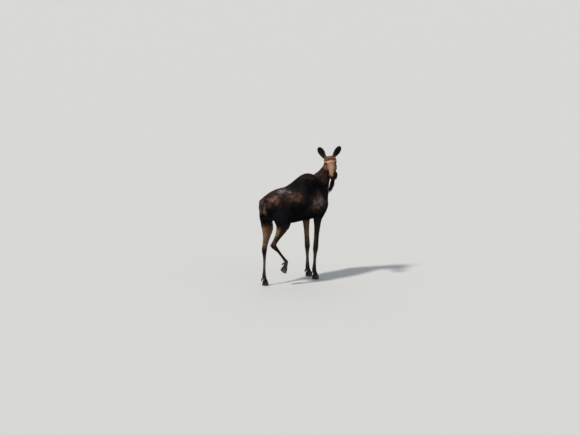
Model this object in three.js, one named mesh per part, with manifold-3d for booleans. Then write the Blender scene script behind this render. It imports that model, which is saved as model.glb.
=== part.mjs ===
// A life-size cow moose that walks over a level floor and looks back over its right shoulder, with its
// right hind foot lifted in mid-step.
//
// Millimetres, +Z up. The animal is drawn in its own frame: x runs forward from the rump, y to its left
// from the spine, and z up from the floor. The finished group is then moved, so that its origin lies on
// the floor under the middle of its box.
import * as THREE from "three";
import { mergeVertices } from "three/addons/utils/BufferGeometryUtils.js";
import Module from "manifold-3d";

const wasm = await Module();
wasm.setup();

const { degToRad } = THREE.MathUtils;
const v3 = (x, y, z) => new THREE.Vector3(x, y, z);

// ---------------------------------------------------------------------------------------------------
// Driving dimensions

const SHOULDER_HEIGHT = 1848; // floor to the top of the hump, with its mane
const CROUP_HEIGHT = 1662;
const BELLY_HEIGHT = 1030;
const TRUNK_LENGTH = 1642; // rump to breast
const CHEST_HALF_WIDTH = 250;
const BARREL_HALF_WIDTH = 292;
const HEAD_LENGTH = 622; // poll to the end of the upper lip
const EAR_LENGTH = 210;
const EYE_RADIUS = 20;
const CORONET_HEIGHT = 79; // top of a hoof that stands flat
const GAP = 0.3; // between pieces that touch

// ---------------------------------------------------------------------------------------------------
// Lofts: closed surfaces through a row of sections

// A section's defaults. `top`, `bottom` and `side` are its half sizes; `square` is 2 for an ellipse and
// more for a squarer one; `ridge` and `keel` narrow it towards its top and its bottom.
const SECTION = { square: 2.1, ridge: 0, keel: 0 };

// A point of a section at an angle, counted from its side towards its top.
function sectionPoint(size, shape, angle) {
  const power = 2 / shape.x;
  const across = Math.sign(Math.cos(angle)) * Math.abs(Math.cos(angle)) ** power;
  const along = Math.sign(Math.sin(angle)) * Math.abs(Math.sin(angle)) ** power;
  const pinch = (along > 0 ? shape.y : shape.z) * along ** 2;
  return { x: size.z * across * (1 - pinch), y: (along > 0 ? size.x : size.y) * along };
}

// A closed solid through stations. Each has its centre `at`, the direction `up` in which `top` is
// measured, and its section's sizes. Every quantity follows one smooth curve from station to station.
// A station may fix the normal of its plane with `axis`; otherwise that is the centreline's tangent.
function loft(stations, { sides, steps = 1 }) {
  const full = stations.map((s) => ({ ...SECTION, ...s }));
  const curve = (pick) => new THREE.CatmullRomCurve3(full.map(pick), false, "catmullrom", 0.5);
  const centres = curve((s) => s.at);
  const sizes = curve((s) => v3(s.top, s.bottom, s.side));
  const shapes = curve((s) => v3(s.square, s.ridge, s.keel));
  const ups = curve((s) => s.up);
  const rings = (full.length - 1) * steps + 1;
  const tangentAt = (i) => {
    const near = Math.round(i / steps);
    const fixed = full[near].axis;
    return (fixed ?? centres.getTangent(i / (rings - 1))).clone().normalize();
  };

  const positions = [];
  const add = (p) => positions.push(p.x, p.y, p.z) / 3 - 1;
  for (let i = 0; i < rings; i += 1) {
    const t = i / (rings - 1);
    const centre = centres.getPoint(t);
    const size = sizes.getPoint(t);
    const shape = shapes.getPoint(t);
    const tangent = tangentAt(i);
    const up = ups.getPoint(t).addScaledVector(tangent, -ups.getPoint(t).dot(tangent)).normalize();
    const across = up.clone().cross(tangent);
    for (let j = 0; j < sides; j += 1) {
      const q = sectionPoint(size, shape, (j / sides) * Math.PI * 2);
      add(centre.clone().addScaledVector(across, q.x).addScaledVector(up, q.y));
    }
  }
  const first = add(centres.getPoint(0));
  const last = add(centres.getPoint(1));
  const index = [];
  for (let j = 0; j < sides; j += 1) {
    const k = (j + 1) % sides;
    const end = (rings - 1) * sides;
    index.push(first, k, j, last, end + j, end + k);
    for (let i = 0; i < end; i += sides) {
      index.push(i + j, i + k, i + sides + k, i + j, i + sides + k, i + sides + j);
    }
  }
  const geometry = new THREE.BufferGeometry();
  geometry.setAttribute("position", new THREE.Float32BufferAttribute(positions, 3));
  geometry.setIndex(index);
  return solid(geometry);
}

// ---------------------------------------------------------------------------------------------------
// Solids

// A manifold solid of a closed geometry.
function solid(geometry) {
  const bare = geometry.clone();
  bare.deleteAttribute("normal");
  bare.deleteAttribute("uv");
  const merged = mergeVertices(bare, 1e-3);
  return new wasm.Manifold(
    new wasm.Mesh({
      numProp: 3,
      vertProperties: merged.attributes.position.array,
      triVerts: new Uint32Array(merged.index.array),
    }),
  );
}

const join = (solids) => solids.reduce((whole, next) => whole.add(next));

// An ellipsoid of three radii round a point, in a frame.
function ellipsoid(frame, at, radii, detail = 12) {
  const ball = new THREE.SphereGeometry(1, detail, Math.round(detail * 0.7));
  ball.scale(radii.x, radii.y, radii.z).translate(at.x, at.y, at.z);
  return solid(ball.applyMatrix4(frame));
}

// A level box from its low to its high corner.
function box(low, high) {
  const size = high.clone().sub(low);
  const middle = high.clone().add(low).multiplyScalar(0.5);
  return solid(new THREE.BoxGeometry(size.x, size.y, size.z).translate(middle.x, middle.y, middle.z));
}

// The largest of a solid's separate bodies.
function largest(made) {
  return made.decompose().reduce((best, next) => (next.volume() > best.volume() ? next : best));
}

// A frame from where its origin is and where its x and z axes point.
function frameOf(at, forward, up) {
  const x = forward.clone().normalize();
  const z = up.clone().addScaledVector(x, -up.dot(x)).normalize();
  return new THREE.Matrix4().makeBasis(x, z.clone().cross(x), z).setPosition(at);
}

const LEVEL = new THREE.Matrix4();

// ---------------------------------------------------------------------------------------------------
// Trunk

function torso() {
  const section = (x, top, bottom, side, ridge, keel) => {
    const middle = bottom + (top - bottom) * 0.48;
    return {
      at: v3(x, 0, middle),
      axis: v3(1, 0, 0),
      up: v3(0, 0, 1),
      top: top - middle,
      bottom: middle - bottom,
      side,
      ridge,
      keel,
      square: 2.3,
    };
  };
  return loft(
    [
      section(0, 1470, 1350, 30, 0, 0),
      section(30, 1518, 1250, 98, 0, 0.15),
      section(110, 1560, 1185, 160, 0.15, 0.25),
      section(290, CROUP_HEIGHT - 34, 1130, 226, 0.32, 0.2),
      section(450, CROUP_HEIGHT, BELLY_HEIGHT + 38, 262, 0.38, 0.15),
      section(690, CROUP_HEIGHT + 13, BELLY_HEIGHT, 288, 0.42, 0.1),
      section(880, 1741, BELLY_HEIGHT, BARREL_HALF_WIDTH, 0.5, 0.15),
      section(1040, 1822, BELLY_HEIGHT, 278, 0.62, 0.2),
      section(1180, SHOULDER_HEIGHT, BELLY_HEIGHT - 5, CHEST_HALF_WIDTH, 0.7, 0.3),
      section(1320, 1826, BELLY_HEIGHT, 240, 0.68, 0.35),
      section(1430, 1762, BELLY_HEIGHT + 30, 218, 0.55, 0.35),
      section(1530, 1640, BELLY_HEIGHT + 90, 184, 0.3, 0.35),
      section(1605, 1535, BELLY_HEIGHT + 160, 142, 0.2, 0.3),
      section(TRUNK_LENGTH, 1420, BELLY_HEIGHT + 240, 50, 0, 0),
    ],
    { sides: 18, steps: 2 },
  );
}

// ---------------------------------------------------------------------------------------------------
// Legs. Each is one loft through stations that hang on the leg's joints.

// A station of a leg: its centre, its half sizes to the front, back and side, and which way its ring
// faces and its front points, if not down the leg and straight ahead.
const limb = (at, front, back, side, extra = {}) => ({
  at,
  up: v3(1, 0, 0),
  top: front,
  bottom: back,
  side,
  square: 2.15,
  ...extra,
});
const between = (a, b, t) => a.clone().lerp(b, t);
const DOWN = v3(0, 0, -1);

// The hind leg from the hip down to the coronet. `side` is 1 on the left and -1 on the right, and `ham`
// is how far the thigh reaches behind its middle.
function hindLeg({ stifle, hock, fetlock, foot, ham }, side) {
  const coronet = v3().setFromMatrixPosition(foot);
  const toe = v3(1, 0, 0).transformDirection(foot);
  const sole = v3(0, 0, -1).transformDirection(foot);
  const outward = { axis: DOWN, up: v3(1, 0.36 * side, 0), keel: 0.2 };
  const shin = hock.clone().sub(stifle).normalize();
  const knee = { axis: between(DOWN, shin, 0.4), up: v3(1, 0.3 * side, 0), keel: 0.15 };
  const shank = (t) => between(stifle, hock, t);
  const cannon = (t) => between(hock, fetlock, t);
  const leg = loft(
    [
      limb(v3(300, 84 * side, 1570), 84, 92, 40, outward),
      limb(v3(285, 122 * side, 1410), 188, 214, 92, outward),
      limb(v3(285, 148 * side, 1250), 218, 222, 102, outward),
      limb(v3(stifle.x - 105, stifle.y * 0.94, stifle.z + 15), 190, ham, 92, knee),
      limb(shank(0.25).add(v3(-26, 0, 0)), 132, ham - 36, 76, { axis: between(DOWN, shin, 0.8) }),
      limb(shank(0.5).add(v3(-4, 0, 0)), 84, 98, 55, { axis: shin }),
      limb(shank(0.74), 54, 68, 38, { axis: shin }),
      limb(shank(0.93), 44, 50, 36),
      limb(cannon(0.05), 40, 46, 37),
      limb(cannon(0.24), 29, 33, 27),
      limb(cannon(0.55), 24, 27, 22),
      limb(cannon(0.84), 26, 30, 25),
      limb(cannon(1), 33, 38, 33, { up: between(v3(1, 0, 0), toe, 0.5) }),
      limb(between(fetlock, coronet, 0.5), 31, 34, 33, { up: toe }),
      limb(coronet, 46, 38, 44, { axis: sole, up: toe }),
    ],
    { sides: 12, steps: 2 },
  );
  return leg.add(heel({ stifle, hock, fetlock }));
}

// The point of the hock, with the tendon that comes down to it and the ridge below it.
function heel({ stifle, hock, fetlock }) {
  const along = fetlock.clone().sub(hock).normalize();
  const rear = v3(-1, 0, 0).addScaledVector(along, along.x).normalize();
  const tip = hock.clone().addScaledVector(along, -52).addScaledVector(rear, 42);
  const shin = hock.clone().sub(stifle).normalize();
  const calf = v3(-1, 0, 0).addScaledVector(shin, shin.x).normalize();
  const tendon = loft(
    [
      limb(between(stifle, hock, 0.4).addScaledVector(calf, 40), 52, 40, 34),
      limb(between(stifle, hock, 0.72).addScaledVector(calf, 50), 44, 28, 20),
      limb(between(stifle, hock, 0.9).addScaledVector(calf, 48), 36, 24, 18),
      limb(tip, 15, 15, 12),
    ],
    { sides: 10, steps: 1 },
  );
  const ridge = loft(
    [
      limb(tip.clone().addScaledVector(along, -16), 10, 10, 9),
      limb(tip, 26, 22, 19),
      limb(tip.clone().addScaledVector(along, 66), 34, 26, 24),
      limb(between(hock, fetlock, 0.34).addScaledVector(rear, 12), 18, 20, 16),
    ],
    { sides: 10, steps: 1 },
  );
  return tendon.add(ridge);
}

// The front leg from the top of the shoulder blade down to the coronet.
function frontLeg({ elbow, knee, fetlock, foot }, side) {
  const coronet = v3().setFromMatrixPosition(foot);
  const toe = v3(1, 0, 0).transformDirection(foot);
  const level = { axis: DOWN };
  const forearm = (t) => between(elbow, knee, t);
  const cannon = (t) => between(knee, fetlock, t);
  return loft(
    [
      limb(v3(1225, 70 * side, 1700), 62, 80, 34, level),
      limb(v3(1300, 130 * side, 1520), 140, 140, 84, level),
      limb(v3(1392, 168 * side, 1330), 152, 190, 92, level),
      limb(v3(1360, 166 * side, 1170), 128, 155, 88, level),
      limb(elbow, 84, 92, 68, level),
      limb(forearm(0.24), 62, 64, 50),
      limb(forearm(0.6), 47, 48, 40),
      limb(forearm(0.96), 52, 44, 45),
      limb(cannon(0.1), 42, 42, 40),
      limb(cannon(0.3), 29, 33, 29),
      limb(cannon(0.65), 26, 31, 26),
      limb(cannon(0.97), 37, 42, 36),
      limb(between(fetlock, coronet, 0.5), 34, 37, 36, { up: toe }),
      limb(coronet, 52, 44, 49, { axis: DOWN, up: toe }),
    ],
    { sides: 12, steps: 2 },
  );
}

// A foot's frame: x to the toes, z up the leg, and its origin in the middle of the coronet. `turn` is
// how far it toes out to the left, and `tip` how far its toes point down.
function footAt(x, y, z, turn = 0, tip = 0) {
  const ahead = v3(Math.cos(turn), Math.sin(turn), 0);
  const forward = ahead.clone().multiplyScalar(Math.cos(tip)).add(v3(0, 0, -Math.sin(tip)));
  return frameOf(v3(x, y, z), forward, v3(0, 0, 1).addScaledVector(ahead, Math.sin(tip)));
}
const flatFoot = (x, y, turn) => footAt(x, y, CORONET_HEIGHT, degToRad(turn));

const LEGS = {
  hind_left: {
    make: hindLeg,
    side: 1,
    claw: 0.94,
    ham: 178,
    stifle: v3(402, 172, 1108),
    hock: v3(203, 113, 628),
    fetlock: v3(184, 108, 172),
    foot: flatFoot(212, 108, 4),
  },
  hind_right: {
    make: hindLeg,
    side: -1,
    claw: 0.94,
    ham: 222,
    stifle: v3(412, -190, 1112),
    hock: v3(150, -132, 735),
    fetlock: v3(484, -134, 400),
    foot: footAt(450, -134, 307, 0, degToRad(40)),
  },
  front_left: {
    make: frontLeg,
    side: 1,
    claw: 1,
    elbow: v3(1352, 150, 1050),
    knee: v3(1372, 140, 530),
    fetlock: v3(1376, 134, 168),
    foot: flatFoot(1406, 134, 4),
  },
  front_right: {
    make: frontLeg,
    side: -1,
    claw: 1,
    elbow: v3(1306, -152, 1050),
    knee: v3(1256, -140, 530),
    fetlock: v3(1226, -138, 168),
    foot: flatFoot(1258, -138, -4),
  },
};

// One of a foot's two main claws: a wedge from the coronet down to a flat sole, its point turned in.
function claw(foot, side, size) {
  const ring = (z, front, back, width) => ({
    at: v3(0, 25 * side * size, z - CORONET_HEIGHT),
    axis: DOWN,
    up: v3(1, -0.1 * side, 0),
    top: front * size,
    bottom: back * size,
    side: width * size,
    square: 2,
    ridge: 0.25,
  });
  const wedge = loft(
    [
      ring(CORONET_HEIGHT - GAP, 46, 38, 22),
      ring(54, 58, 44, 24),
      ring(27, 70, 48, 25),
      ring(5, 80, 50, 25),
      ring(0, 77, 47, 22.5),
    ],
    { sides: 12 },
  );
  const floor = box(v3(-500, -900, -200), v3(2500, 900, 0));
  return wedge.transform(foot.elements).subtract(floor);
}

// One of the two small claws behind a fetlock.
function dewclaw(foot, side, size) {
  const at = (x, z) => v3(x, 27 * side * size, z);
  const ring = (x, z, half, width) => ({
    at: at(x, z),
    up: v3(-1, 0, 0),
    top: half * size,
    bottom: half * size,
    side: width * size,
  });
  const cone = loft(
    [ring(-44, 62, 9, 9), ring(-60, 46, 15, 14), ring(-68, 22, 16, 14), ring(-70, 2, 9, 9)],
    { sides: 6 },
  );
  return cone.transform(foot.elements);
}

// ---------------------------------------------------------------------------------------------------
// Neck and head

// The head's frame: x along the face to the nose, z out of the forehead, and its origin at the poll.
const HEAD_TURN = degToRad(226.5); // where the nose points, from straight ahead, to the left
const HEAD_PITCH = degToRad(20); // how far the nose points down
const HEAD_ROLL = degToRad(8); // how far the left eye is higher than the right one
const POLL = v3(1568, -186, 2118);
const HEAD = frameOf(
  POLL,
  v3(
    Math.cos(HEAD_TURN) * Math.cos(HEAD_PITCH),
    Math.sin(HEAD_TURN) * Math.cos(HEAD_PITCH),
    -Math.sin(HEAD_PITCH),
  ),
  v3(0, 0, 1),
).multiply(new THREE.Matrix4().makeRotationX(HEAD_ROLL));

// The neck rises from the chest, turning its crest from behind the withers round to behind the poll.
function neck() {
  const section = (at, crestTurn, lean, crest, throat, side) => {
    const turn = degToRad(crestTurn);
    return {
      at,
      up: v3(Math.cos(turn) * Math.cos(lean), Math.sin(turn) * Math.cos(lean), Math.sin(lean)),
      top: crest,
      bottom: throat,
      side,
      ridge: 0.3,
      keel: 0.2,
    };
  };
  return loft(
    [
      section(v3(1340, 0, 1330), 180, 0.75, 230, 245, 175),
      section(v3(1430, -12, 1490), 158, 0.5, 222, 242, 152),
      section(v3(1475, -48, 1640), 122, 0.3, 198, 184, 130),
      section(v3(1528, -104, 1780), 80, 0.15, 144, 148, 108),
      section(v3(1570, -160, 1910), 56, 0, 112, 132, 92),
      section(v3(1575, -178, 2000), 50, -0.1, 90, 124, 84),
      section(v3(1568, -188, 2056), 48, -0.2, 52, 70, 52),
    ],
    { sides: 16, steps: 2 },
  );
}

// A section across the head, from its top and bottom lines.
function across(x, top, bottom, side, shape = {}) {
  const middle = (top + bottom) / 2;
  return {
    at: v3(x, 0, middle),
    axis: v3(1, 0, 0),
    up: v3(0, 0, 1),
    top: top - middle,
    bottom: middle - bottom,
    side,
    square: 2.3,
    ...shape,
  };
}

function skull() {
  return loft(
    [
      across(-34, -34, -140, 48),
      across(0, 4, -190, 78),
      across(56, 26, -214, 93, { keel: 0.3 }),
      across(120, 24, -218, 101, { ridge: 0.05, keel: 0.45 }),
      across(178, 16, -204, 101, { ridge: 0.1, keel: 0.5 }),
      across(245, 2, -182, 79, { ridge: 0.15, keel: 0.35 }),
      across(325, -6, -158, 61, { ridge: 0.15, keel: 0.1 }),
      across(405, 2, -144, 57, { ridge: 0.15 }),
      across(470, 6, -140, 62, { ridge: 0.1 }),
      across(530, -4, -144, 69, { ridge: 0.1 }),
      across(575, -28, -152, 69, { ridge: 0.15 }),
      across(608, -62, -152, 53),
      across(HEAD_LENGTH, -92, -132, 24),
    ],
    { sides: 18, steps: 1 },
  ).transform(HEAD.elements);
}

function jaw() {
  return loft(
    [
      across(66, -100, -230, 50),
      across(140, -110, -236, 60, { keel: 0.2 }),
      across(265, -110, -203, 50, { keel: 0.3 }),
      across(380, -110, -178, 40, { keel: 0.2 }),
      across(458, -112, -181, 43),
      across(506, -118, -174, 36),
      across(530, -130, -158, 16),
    ],
    { sides: 12, steps: 1 },
  ).transform(HEAD.elements);
}

// What stands out of both sides of the head: brow, cheek, nostril wing and ear root.
function headSides() {
  return [1, -1].flatMap((side) => [
    ellipsoid(HEAD, v3(128, 76 * side, -14), v3(66, 36, 32), 8),
    ellipsoid(HEAD, v3(134, 56 * side, -142), v3(108, 52, 80), 8),
    ellipsoid(HEAD, v3(548, 44 * side, -66), v3(50, 31, 42), 8),
    ellipsoid(HEAD, v3(14, 68 * side, -24), v3(44, 34, 38), 8),
  ]);
}

// The direction in which an ear points, in the head's frame. The right ear is held more upright.
const earLean = (side) => (side > 0 ? v3(-0.43, 0.65, 0.63) : v3(-0.46, -0.38, 0.81)).normalize();

// An ear: a leaf-shaped loft with a hollow that opens forward and outward.
function ear(side) {
  const root = v3(2, 78 * side, -22);
  const lean = earLean(side);
  const face = v3(0.9, 0.36 * side, 0);
  const leaf = (t, width, depth, shift) => ({
    at: root.clone().addScaledVector(lean, t * EAR_LENGTH).addScaledVector(face, shift),
    up: face,
    top: depth,
    bottom: depth,
    side: width,
    square: 2,
  });
  const outer = loft(
    [
      leaf(0, 32, 30, 0),
      leaf(0.2, 47, 33, 2),
      leaf(0.48, 65, 30, 4),
      leaf(0.74, 62, 23, 6),
      leaf(0.92, 41, 13, 8),
      leaf(1, 14, 5, 9),
    ],
    { sides: 12, steps: 1 },
  );
  const hollow = loft(
    [
      leaf(0.22, 22, 18, 26),
      leaf(0.36, 44, 27, 27),
      leaf(0.54, 54, 27, 27),
      leaf(0.74, 50, 21, 24),
      leaf(0.88, 31, 11, 20),
    ],
    { sides: 10, steps: 1 },
  );
  return outer.subtract(hollow).transform(HEAD.elements);
}

const eyeCentre = (side) => v3(184, 86 * side, -30);
const eyeBall = (side, grow = 0) =>
  ellipsoid(HEAD, eyeCentre(side), v3(1, 1, 1).multiplyScalar(EYE_RADIUS + grow), 10);

// The bell: a flap of skin and hair that hangs straight down from the throat.
function bell() {
  const root = v3(205, 12, -186).applyMatrix4(HEAD);
  const section = (drop, depth, width, swing = 0) => ({
    at: root.clone().add(v3(swing * 0.6, -swing * 0.8, -drop)),
    axis: DOWN,
    up: v3(Math.cos(HEAD_TURN), Math.sin(HEAD_TURN), 0),
    top: depth,
    bottom: depth,
    side: width,
  });
  return loft(
    [
      section(-16, 56, 25, 10),
      section(50, 46, 27, 16),
      section(130, 38, 27, 14),
      section(215, 32, 34, 0),
      section(280, 24, 30, -18),
      section(325, 9, 14, -32),
    ],
    { sides: 12, steps: 1 },
  );
}

function tail() {
  const section = (x, z, depth, width) => ({
    at: v3(x, 0, z),
    up: v3(-1, 0, 0),
    top: depth,
    bottom: depth,
    side: width,
  });
  return loft(
    [
      section(60, 1515, 26, 34),
      section(14, 1490, 24, 32),
      section(-16, 1455, 20, 29),
      section(-24, 1415, 16, 24),
      section(-24, 1380, 7, 10),
    ],
    { sides: 12, steps: 1 },
  );
}

// ---------------------------------------------------------------------------------------------------
// The whole body of flesh, and the boxes that part it into nodes with thin cuts

const flesh = join([
  torso(),
  ...Object.values(LEGS).map((leg) => leg.make(leg, leg.side)),
  neck(),
  skull(),
  jaw(),
  ...headSides(),
]);

// A prism in a frame: an outline of [x, z] corners, counter-clockwise, from y = low to y = high. All
// its faces are moved out by `grow`.
function prism(frame, outline, low, high, grow = 0) {
  const corners = outline.map(([x, z]) => new THREE.Vector2(x, z));
  const outward = corners.map((p, i) => {
    const edge = corners[(i + 1) % corners.length].clone().sub(p).normalize();
    return new THREE.Vector2(edge.y, -edge.x);
  });
  const grown = corners.map((p, i) => {
    const before = outward[(i + corners.length - 1) % corners.length];
    const bisector = before.clone().add(outward[i]);
    return p.clone().addScaledVector(bisector, grow / (1 + before.dot(outward[i])));
  });
  const depth = high - low + 2 * grow;
  const extruded = new THREE.ExtrudeGeometry(new THREE.Shape(grown), { depth, bevelEnabled: false });
  extruded.rotateX(Math.PI / 2).translate(0, high + grow, 0);
  return solid(extruded.applyMatrix4(frame));
}

const FLANK = 900; // more than half the trunk's width, where a cut runs past it

// Each cut's outline: the head ends behind the ears and under the jaw, the neck at the shoulder, the
// hind legs along the groin and the front legs at the elbow.
const HEAD_OUTLINE = [[-4, 10], [92, -244], [HEAD_LENGTH + 80, -244], [HEAD_LENGTH + 80, 300], [-4, 300]];
const NECK_OUTLINE = [[1330, 1890], [1600, 1330], [2100, 1330], [2100, 2500], [1330, 2500]];
const HIND_OUTLINE = [[-200, 1300], [-200, -20], [700, -20], [700, 1010], [590, 1050]];
const FRONT_OUTLINE = [[1120, -20], [1640, -20], [1640, 1080], [1210, 1080]];

// The cut that takes a leg off on one side of the spine, `inner` out from it.
function legCut(name, outline, side, inner) {
  return {
    name,
    frame: LEVEL,
    outline,
    low: side > 0 ? inner : -FLANK,
    high: side > 0 ? FLANK : -inner,
  };
}

const CUTS = [
  { name: "head", frame: HEAD, outline: HEAD_OUTLINE, low: -122, high: 122 },
  { name: "neck", frame: LEVEL, outline: NECK_OUTLINE, low: -FLANK, high: FLANK },
  ...Object.entries(LEGS).map(([name, { side }]) =>
    name.startsWith("hind")
      ? legCut(`leg_${name}`, HIND_OUTLINE, side, GAP / 2)
      : legCut(`leg_${name}`, FRONT_OUTLINE, side, 62),
  ),
];

const nodes = new Map();
let rest = flesh.subtract(join([eyeBall(1, GAP), eyeBall(-1, GAP)]));
for (const { name, frame, outline, low, high } of CUTS) {
  nodes.set(name, largest(rest.intersect(prism(frame, outline, low, high))));
  rest = largest(rest.subtract(prism(frame, outline, low, high, GAP)));
}
nodes.set("trunk", rest);

// ---------------------------------------------------------------------------------------------------
// The smaller pieces, each fitted round the flesh

// A piece that grows out of the flesh in the direction `away`, cut off a gap clear of it.
function fitted(made, away) {
  const moved = flesh.translate(away.clone().normalize().multiplyScalar(GAP).toArray());
  return largest(made.subtract(flesh).subtract(moved));
}

const SIDES = [
  ["left", 1],
  ["right", -1],
];
for (const [name, side] of SIDES) {
  nodes.set(`eye_${name}`, eyeBall(side));
  nodes.set(`ear_${name}`, fitted(ear(side), earLean(side).transformDirection(HEAD)));
}
nodes.set("bell", fitted(bell(), DOWN));
nodes.set("tail", fitted(tail(), v3(-1, 0, -0.3)));
for (const [name, { foot, claw: size, side: body }] of Object.entries(LEGS)) {
  for (const [where, side] of [["outer", body], ["inner", -body]]) {
    const below = v3(0, 0, -1).transformDirection(foot);
    const behind = v3(-1, 0, -0.4).transformDirection(foot);
    nodes.set(`hoof_${name}_${where}`, fitted(claw(foot, side, size), below));
    nodes.set(`dewclaw_${name}_${where}`, fitted(dewclaw(foot, side, size), behind));
  }
}

const MATERIALS = {
  coat: new THREE.MeshStandardMaterial({ name: "coat", color: 0x2b211b, roughness: 0.95 }),
  hoof: new THREE.MeshStandardMaterial({ name: "hoof", color: 0x1d1916, roughness: 0.55 }),
  eye: new THREE.MeshStandardMaterial({ name: "eye", color: 0x120b07, roughness: 0.08 }),
};

function materialOf(name) {
  if (name.startsWith("eye")) return MATERIALS.eye;
  return /^(hoof|dewclaw)/.test(name) ? MATERIALS.hoof : MATERIALS.coat;
}

// A named mesh of a manifold solid.
function meshOf(name, made) {
  const { vertProperties, triVerts } = made.getMesh();
  const geometry = new THREE.BufferGeometry();
  geometry.setAttribute("position", new THREE.BufferAttribute(vertProperties, 3));
  geometry.setIndex(new THREE.BufferAttribute(triVerts, 1));
  geometry.computeVertexNormals();
  const mesh = new THREE.Mesh(geometry, materialOf(name));
  mesh.name = name;
  return mesh;
}

const moose = new THREE.Group();
moose.name = "moose";
for (const [name, made] of nodes) moose.add(meshOf(name, made));

const bounds = new THREE.Box3().setFromObject(moose);
const middle = bounds.getCenter(v3(0, 0, 0));
moose.position.set(-middle.x, -middle.y, -bounds.min.z);

export default moose;
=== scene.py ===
"""A life-size cow moose that walks and looks back over its right shoulder.

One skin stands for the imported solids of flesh, and solid tufts of hair lie over it. Points are arrays in
metres in the animal's own frame: x forward from the rump, y to its left from the spine, z up from the
floor. On the head they are millimetres in the head's frame: x along the face to the nose, y to its left
and z out of the forehead, counted from the poll.
"""

import math

import bmesh
import bpy
import numpy as np
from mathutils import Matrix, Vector
from mathutils.bvhtree import BVHTree


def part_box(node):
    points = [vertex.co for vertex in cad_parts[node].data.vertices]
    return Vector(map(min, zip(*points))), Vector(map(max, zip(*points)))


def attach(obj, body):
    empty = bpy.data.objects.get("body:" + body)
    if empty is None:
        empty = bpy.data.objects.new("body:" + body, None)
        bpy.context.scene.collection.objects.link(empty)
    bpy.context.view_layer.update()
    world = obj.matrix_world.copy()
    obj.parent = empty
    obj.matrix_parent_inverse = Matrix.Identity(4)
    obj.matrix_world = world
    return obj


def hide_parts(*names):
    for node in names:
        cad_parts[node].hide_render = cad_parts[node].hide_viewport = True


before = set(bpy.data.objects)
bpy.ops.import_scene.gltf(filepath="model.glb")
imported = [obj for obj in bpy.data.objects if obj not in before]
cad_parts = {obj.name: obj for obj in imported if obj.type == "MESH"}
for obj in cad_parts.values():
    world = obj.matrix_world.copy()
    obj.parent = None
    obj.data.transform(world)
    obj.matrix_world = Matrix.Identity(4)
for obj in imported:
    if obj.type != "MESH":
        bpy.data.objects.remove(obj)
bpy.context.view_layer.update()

# ---- Frames and landmarks

SIDES = {"left": 1, "right": -1}
LEG_NAMES = ("leg_hind_left", "leg_hind_right", "leg_front_left", "leg_front_right")
REGIONS = ("head", "neck", "trunk", *LEG_NAMES, "ear_left", "ear_right", "bell", "tail")
EARS = ("ear_left", "ear_right")

POLL = np.array([1.568, -0.186, 2.118])
HEAD_TURN = math.radians(226.5)
HEAD_PITCH = math.radians(20)
HEAD_ROLL = math.radians(8)
HEAD_LENGTH = 622
HEAD_SIDE = 130  # every feature of the head lies nearer to its middle than this
NOSE_END = 660  # no point of the head lies this far ahead
EYE_RADIUS = 20
EAR_LINES = {
    "ear_left": [(2, 78, -22), (-88, 214, 110)],
    "ear_right": [(2, -78, -22), (-94, -157, 147)],
}
BELL_ROOT = (205, 12, -186)
# The bell's middle below its root, in the animal's frame.
BELL_DROPS = [(0.008, -0.01, 0), (0.008, -0.011, -0.13), (0, 0, -0.215), (-0.019, 0.026, -0.325)]

# The line that each part's hair follows, from where it starts to where it ends.
LEG_LINES = {
    "leg_hind_left": [(0.285, 0.13, 1.5), (0.402, 0.172, 1.108), (0.203, 0.113, 0.628),
                      (0.184, 0.108, 0.172), (0.212, 0.108, 0.079)],
    "leg_hind_right": [(0.285, -0.13, 1.5), (0.412, -0.19, 1.112), (0.15, -0.132, 0.735),
                       (0.484, -0.134, 0.4), (0.45, -0.134, 0.307)],
    "leg_front_left": [(1.34, 0.15, 1.4), (1.352, 0.15, 1.05), (1.372, 0.14, 0.53),
                       (1.376, 0.134, 0.168), (1.406, 0.134, 0.079)],
    "leg_front_right": [(1.32, -0.15, 1.4), (1.306, -0.152, 1.05), (1.256, -0.14, 0.53),
                        (1.226, -0.138, 0.168), (1.258, -0.138, 0.079)],
}
NECK_LINE = [(1.568, -0.188, 2.056), (1.575, -0.178, 2.0), (1.57, -0.16, 1.91), (1.528, -0.104, 1.78),
             (1.475, -0.048, 1.64), (1.43, -0.012, 1.49), (1.34, 0, 1.33)]
TRUNK_LINE = [(1.62, 0, 1.38), (0.02, 0, 1.38)]
TAIL_LINE = [(0.06, 0, 1.515), (-0.016, 0, 1.455), (-0.024, 0, 1.38)]


def animal_origin():
    """Where the animal's own frame starts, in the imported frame."""
    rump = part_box("trunk")[0]
    tail_low, tail_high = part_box("tail")
    return np.array([rump.x, (tail_low.y + tail_high.y) / 2, 0.0])


def unit(vectors):
    """Vectors of length one."""
    return vectors / np.maximum(np.linalg.norm(vectors, axis=-1, keepdims=True), 1e-9)


def head_axes():
    """The head's three axes, one a row."""
    ahead = np.array([
        math.cos(HEAD_TURN) * math.cos(HEAD_PITCH),
        math.sin(HEAD_TURN) * math.cos(HEAD_PITCH),
        -math.sin(HEAD_PITCH),
    ])
    up = unit(np.array([0, 0, 1]) - ahead * ahead[2])
    left = np.cross(up, ahead)
    c, s = math.cos(HEAD_ROLL), math.sin(HEAD_ROLL)
    return np.array([ahead, left * c + up * s, up * c - left * s])


ORIGIN = animal_origin()
HEAD_AXES = head_axes()


def to_head(points):
    """Points of the animal's frame in the head's, in millimetres."""
    return (points - POLL) @ HEAD_AXES.T * 1000


def from_head(points):
    """Points of the head's frame in the animal's."""
    return np.asarray(points, float) / 1000 @ HEAD_AXES + POLL


def eye_centre(side_name):
    """An eye's centre in the head's frame."""
    low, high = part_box(f"eye_{side_name}")
    return to_head((np.array(low) + np.array(high)) / 2 - ORIGIN)


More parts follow.
